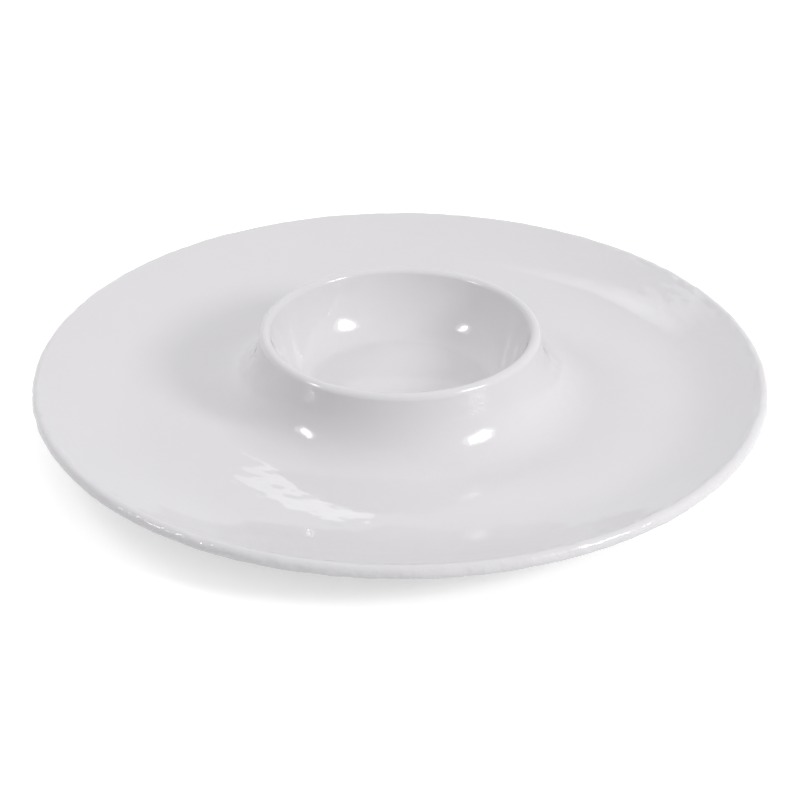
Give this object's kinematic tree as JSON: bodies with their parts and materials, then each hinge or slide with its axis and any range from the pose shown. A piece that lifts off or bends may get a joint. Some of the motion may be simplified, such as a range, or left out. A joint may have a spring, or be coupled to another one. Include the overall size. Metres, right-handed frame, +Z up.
{
  "type": "chip and dip platter",
  "caption": "Round white glazed ceramic serving platter with a shallow ring-shaped well for chips sweeping up into a raised central dip bowl, standing on an unglazed foot ring.",
  "frame": {"origin": "middle of the underside, on the surface that the platter stands on", "axes": "+Z up through the middle of the bowl; the platter is round, so +X and +Y are any two square directions on the table"},
  "size_m": [0.34, 0.34, 0.0415],
  "materials": {
    "white_glaze": "gloss white glaze over stoneware, faintly rippled by hand tooling",
    "bare_stoneware": "unglazed fired stoneware, wiped clean where it stands"
  },
  "bodies": {
    "root": {"platter": "white_glaze", "dip_bowl": "white_glaze", "foot_ring": "bare_stoneware"}
  },
  "joints": []
}
